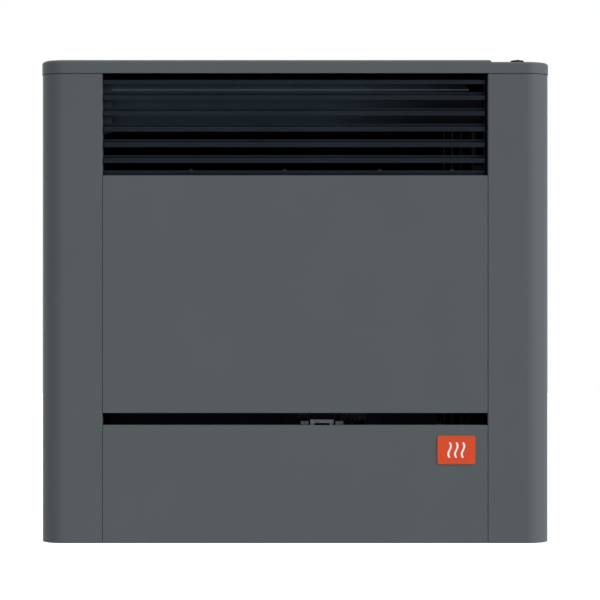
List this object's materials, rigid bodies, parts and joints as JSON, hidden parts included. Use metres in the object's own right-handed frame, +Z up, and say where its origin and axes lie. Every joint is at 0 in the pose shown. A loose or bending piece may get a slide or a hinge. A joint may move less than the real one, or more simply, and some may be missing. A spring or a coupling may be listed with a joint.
{
  "type": "balanced flue gas heater",
  "caption": "Wall-hung balanced flue gas heater: steel casing with a louvred warm air outlet, a hinged lower door, a control knob on top, a sealed combustion chamber and a concentric rear flue.",
  "frame": {"origin": "on the back plate's wall face, at half the casing's width and height", "axes": "+Z up, +Y from the room into the wall, +X to the right as seen from the room"},
  "size_m": [0.6474, 0.3211, 0.6185],
  "materials": {
    "casing_paint": "satin powder coat",
    "grille_paint": "satin black",
    "dark_paint": "matt black",
    "zinc_plate": "zinc plated",
    "stove_enamel": "vitreous enamel",
    "knob_plastic": "moulded",
    "die_cast": "as cast",
    "brass_fitting": "turned",
    "copper_pipe": "drawn copper",
    "stainless": "stainless",
    "fibre_gasket": "glass fibre",
    "ceramic_rod": "fired",
    "sight_glass": "heat-resistant",
    "badge_enamel": "glossy",
    "lead_sleeve": "silicone sleeve"
  },
  "bodies": {
    "chassis": {"right_side_panel": "casing_paint", "left_side_panel": "casing_paint", "top_cover": "casing_paint", "front_panel": "casing_paint", "back_plate": "dark_paint", "base_plate": "zinc_plate", "cross_rail": "dark_paint", "louvre_slat_1": "grille_paint", "louvre_slat_2": "grille_paint", "louvre_slat_3": "grille_paint", "louvre_slat_4": "grille_paint", "louvre_slat_5": "grille_paint", "louvre_slat_6": "grille_paint", "grille_bottom_rail": "grille_paint", "grille_end_left": "grille_paint", "grille_end_right": "grille_paint", "air_deflector": "grille_paint", "hinge_bracket_right": "zinc_plate", "hinge_bracket_left": "zinc_plate", "latch_keeper": "dark_paint", "knob_bezel": "knob_plastic", "gas_valve": "die_cast", "piezo_igniter": "knob_plastic", "valve_bracket": "zinc_plate", "chamber_shell": "stove_enamel", "chamber_gasket": "fibre_gasket", "chamber_front": "stove_enamel", "window_glass": "sight_glass", "window_frame": "stove_enamel", "burner_tube": "stainless", "burner_support_left": "stove_enamel", "burner_support_right": "stove_enamel", "burner_injector": "brass_fitting", "pilot_bracket": "zinc_plate", "pilot_burner": "stainless", "spark_electrode": "ceramic_rod", "gas_inlet_pipe": "copper_pipe", "inlet_union": "brass_fitting", "burner_supply_pipe": "copper_pipe", "thermocouple": "copper_pipe", "pilot_tube": "copper_pipe", "ignition_lead": "lead_sleeve", "air_box": "zinc_plate", "air_duct": "die_cast", "flue_tube": "stainless", "flue_spacer": "stainless", "chamber_stand_left": "zinc_plate", "chamber_stand_right": "zinc_plate", "thermostat_sensor": "copper_pipe", "sensor_clip": "zinc_plate"},
    "door": {"lower_door": "casing_paint", "badge_plate": "badge_enamel", "latch_base": "zinc_plate", "latch_spring": "stainless"},
    "latch": {"latch_slider": "zinc_plate"},
    "knob_carrier": {"stem_collar": "brass_fitting"},
    "knob": {"control_knob": "knob_plastic", "valve_stem": "stainless"},
    "igniter_button": {"piezo_button": "knob_plastic"}
  },
  "joints": [
    {"name": "door_hinge", "type": "hinge", "parent": "chassis", "child": "door", "pos_m": [0, -0.222, -0.29825], "axis": [1, 0, 0], "range_deg": [0, 80]},
    {"name": "latch_press", "type": "slide", "parent": "door", "child": "latch", "axis": [0, 0, -1], "range_m": [0, 0.0035], "stiffness_N_per_m": 800, "springref_m": -0.002, "deforming": ["latch_spring"]},
    {"name": "knob_press", "type": "slide", "parent": "chassis", "child": "knob_carrier", "axis": [0, 0, -1], "range_m": [0, 0.0035], "stiffness_N_per_m": 1500, "springref_m": -0.003},
    {"name": "knob_turn", "type": "hinge", "parent": "knob_carrier", "child": "knob", "pos_m": [0.2872, -0.17, 0.3], "axis": [0, 0, 1], "range_deg": [0, 270]},
    {"name": "igniter_press", "type": "slide", "parent": "chassis", "child": "igniter_button", "axis": [0, 0, -1], "range_m": [0, 0.004], "stiffness_N_per_m": 2000, "springref_m": -0.003}
  ]
}
